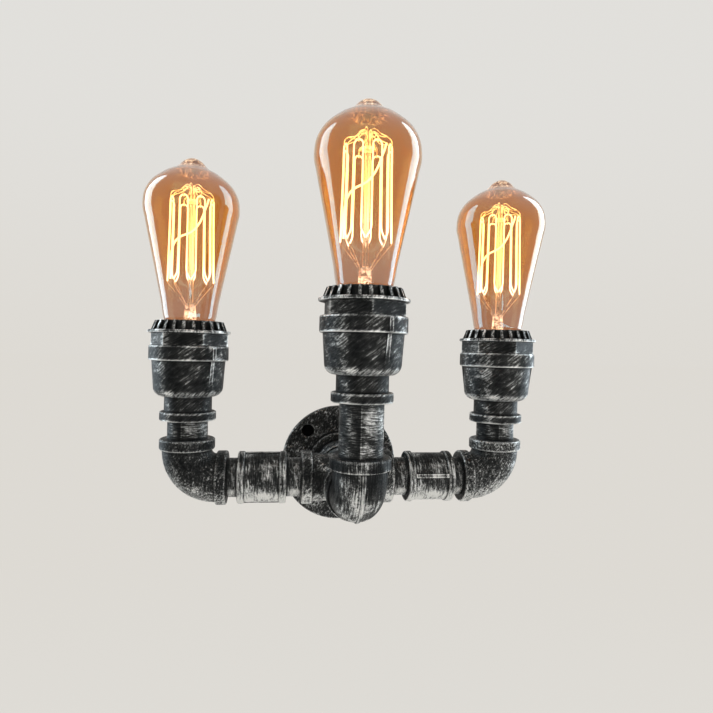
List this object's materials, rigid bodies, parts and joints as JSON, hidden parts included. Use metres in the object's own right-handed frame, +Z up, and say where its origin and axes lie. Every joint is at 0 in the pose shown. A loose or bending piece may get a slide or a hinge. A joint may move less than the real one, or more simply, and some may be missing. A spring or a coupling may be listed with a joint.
{
  "type": "industrial pipe wall light",
  "caption": "Wall light built from threaded iron pipe and fittings: a round flange, side arms with upright lamps and a raised front lamp, with clear amber filament bulbs.",
  "frame": {"origin": "centre of the four-screw pattern on the back face of the flange, in the plane of the wall", "axes": "+Y out of the flange's back, into the wall; +X to the right along the arms; +Z up along the lamps"},
  "size_m": [0.2834, 0.151, 0.2822],
  "materials": {
    "cast_iron": "black paint dry-brushed with silver",
    "steel_tube": "black paint dry-brushed with silver",
    "ring_metal": "black paint, silver on the ribs and the lip",
    "socket_ceramic": "black, semi-matt",
    "socket_brass": "bright",
    "wire_insulation": "black, matt",
    "amber_glass": "clear amber",
    "cap_nickel": "nickel plated",
    "cap_insulator": "black",
    "cap_contact": "tinned",
    "stem_glass": "clear",
    "filament": "glowing",
    "support_wire": "bright"
  },
  "bodies": {
    "fixture": {"wall_flange": "cast_iron", "pipe_cross": "cast_iron", "front_elbow": "cast_iron", "left_elbow": "cast_iron", "right_elbow": "cast_iron", "left_coupling": "cast_iron", "right_coupling": "cast_iron", "wall_nipple": "steel_tube", "front_nipple": "steel_tube", "middle_riser": "steel_tube", "left_inner_nipple": "steel_tube", "left_outer_nipple": "steel_tube", "left_riser": "steel_tube", "right_inner_nipple": "steel_tube", "right_outer_nipple": "steel_tube", "right_riser": "steel_tube", "left_bell_reducer": "cast_iron", "left_hex_bush": "cast_iron", "left_shade_ring": "ring_metal", "left_socket_body": "socket_ceramic", "left_socket_shell": "socket_brass", "left_socket_contact": "socket_brass", "left_lamp_wires": "wire_insulation", "middle_bell_reducer": "cast_iron", "middle_hex_bush": "cast_iron", "middle_shade_ring": "ring_metal", "middle_socket_body": "socket_ceramic", "middle_socket_shell": "socket_brass", "middle_socket_contact": "socket_brass", "middle_lamp_wires": "wire_insulation", "right_bell_reducer": "cast_iron", "right_hex_bush": "cast_iron", "right_shade_ring": "ring_metal", "right_socket_body": "socket_ceramic", "right_socket_shell": "socket_brass", "right_socket_contact": "socket_brass", "right_lamp_wires": "wire_insulation"},
    "left_bulb_tip": {"left_bulb_cap_contact": "cap_contact"},
    "left_bulb": {"left_bulb_glass": "amber_glass", "left_bulb_cap_shell": "cap_nickel", "left_bulb_cap_insulator": "cap_insulator", "left_bulb_stem": "stem_glass", "left_bulb_filament": "filament", "left_bulb_supports": "support_wire"},
    "middle_bulb_tip": {"middle_bulb_cap_contact": "cap_contact"},
    "middle_bulb": {"middle_bulb_glass": "amber_glass", "middle_bulb_cap_shell": "cap_nickel", "middle_bulb_cap_insulator": "cap_insulator", "middle_bulb_stem": "stem_glass", "middle_bulb_filament": "filament", "middle_bulb_supports": "support_wire"},
    "right_bulb_tip": {"right_bulb_cap_contact": "cap_contact"},
    "right_bulb": {"right_bulb_glass": "amber_glass", "right_bulb_cap_shell": "cap_nickel", "right_bulb_cap_insulator": "cap_insulator", "right_bulb_stem": "stem_glass", "right_bulb_filament": "filament", "right_bulb_supports": "support_wire"}
  },
  "joints": [
    {"name": "left_bulb_lift", "type": "slide", "parent": "fixture", "child": "left_bulb_tip", "axis": [0, 0, 1], "range_m": [0, 0.0127]},
    {"name": "left_bulb_turn", "type": "hinge", "parent": "left_bulb_tip", "child": "left_bulb", "pos_m": [-0.11, -0.053, 0.1], "axis": [0, 0, 1], "range_deg": [0, 1260]},
    {"name": "middle_bulb_lift", "type": "slide", "parent": "fixture", "child": "middle_bulb_tip", "axis": [0, 0, 1], "range_m": [0, 0.0127]},
    {"name": "middle_bulb_turn", "type": "hinge", "parent": "middle_bulb_tip", "child": "middle_bulb", "pos_m": [0, -0.1193, 0.1], "axis": [0, 0, 1], "range_deg": [0, 1260]},
    {"name": "right_bulb_lift", "type": "slide", "parent": "fixture", "child": "right_bulb_tip", "axis": [0, 0, 1], "range_m": [0, 0.0127]},
    {"name": "right_bulb_turn", "type": "hinge", "parent": "right_bulb_tip", "child": "right_bulb", "pos_m": [0.11, -0.053, 0.1], "axis": [0, 0, 1], "range_deg": [0, 1260]}
  ],
  "couplings": [
    {"joint": "left_bulb_lift", "follows": "left_bulb_turn", "m_per_rad": 0.00057757},
    {"joint": "middle_bulb_lift", "follows": "middle_bulb_turn", "m_per_rad": 0.00057757},
    {"joint": "right_bulb_lift", "follows": "right_bulb_turn", "m_per_rad": 0.00057757}
  ]
}
